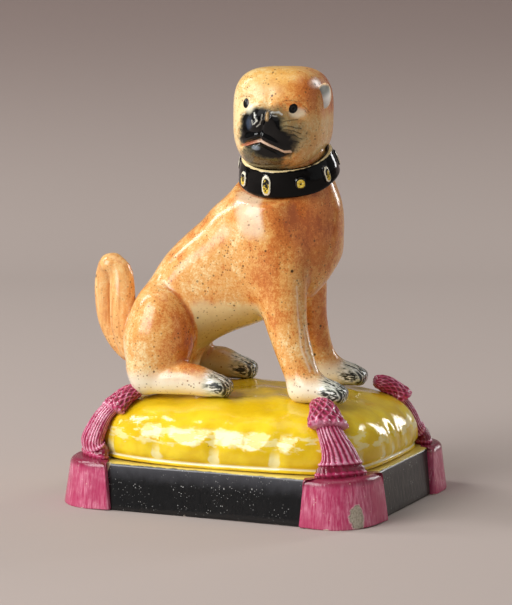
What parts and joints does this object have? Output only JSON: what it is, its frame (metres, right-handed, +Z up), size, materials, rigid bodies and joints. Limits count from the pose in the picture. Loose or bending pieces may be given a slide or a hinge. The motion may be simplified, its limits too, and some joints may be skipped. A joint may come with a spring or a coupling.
{
  "type": "dog figurine",
  "caption": "Seated pug in glazed earthenware, its head turned to look over one side, on a tasselled cushion with a hollow rectangular plinth.",
  "frame": {"origin": "centre of the plinth's underside", "axes": "+X along the plinth's long side, the way the dog's body heads; -Y towards the side that its face looks to; +Z up"},
  "size_m": [0.0924, 0.0774, 0.12],
  "materials": {
    "black_enamel": "brushed glossy black over a cream glaze",
    "yellow_glaze": "glossy yellow with cream patches where it pooled thin",
    "puce_enamel": "brushed puce over a cream glaze",
    "sponged_fawn_glaze": "glossy cream glaze sponged with orange and fine dark specks",
    "painted_cream_glaze": "glossy cream glaze with a painted black mask and eyes",
    "collar_black": "glossy black enamel",
    "stud_yellow": "glossy yellow enamel ringed in cream"
  },
  "bodies": {
    "root": {"plinth": "black_enamel", "cushion": "yellow_glaze", "corner_block_front_right": "puce_enamel", "corner_block_front_left": "puce_enamel", "corner_block_back_right": "puce_enamel", "corner_block_back_left": "puce_enamel", "tassel_front_right": "puce_enamel", "tassel_front_left": "puce_enamel", "tassel_back_right": "puce_enamel", "tassel_back_left": "puce_enamel", "trunk": "sponged_fawn_glaze", "head": "painted_cream_glaze", "collar": "collar_black", "collar_stud_1": "stud_yellow", "collar_stud_2": "stud_yellow", "collar_stud_3": "stud_yellow", "collar_stud_4": "stud_yellow", "collar_stud_5": "stud_yellow", "collar_stud_6": "stud_yellow", "collar_stud_7": "stud_yellow", "collar_stud_8": "stud_yellow", "collar_stud_9": "stud_yellow", "ear_left": "painted_cream_glaze", "ear_right": "painted_cream_glaze", "foreleg_left": "sponged_fawn_glaze", "foreleg_right": "sponged_fawn_glaze", "hind_leg_left": "sponged_fawn_glaze", "hind_leg_right": "sponged_fawn_glaze", "tail": "sponged_fawn_glaze"}
  },
  "joints": []
}
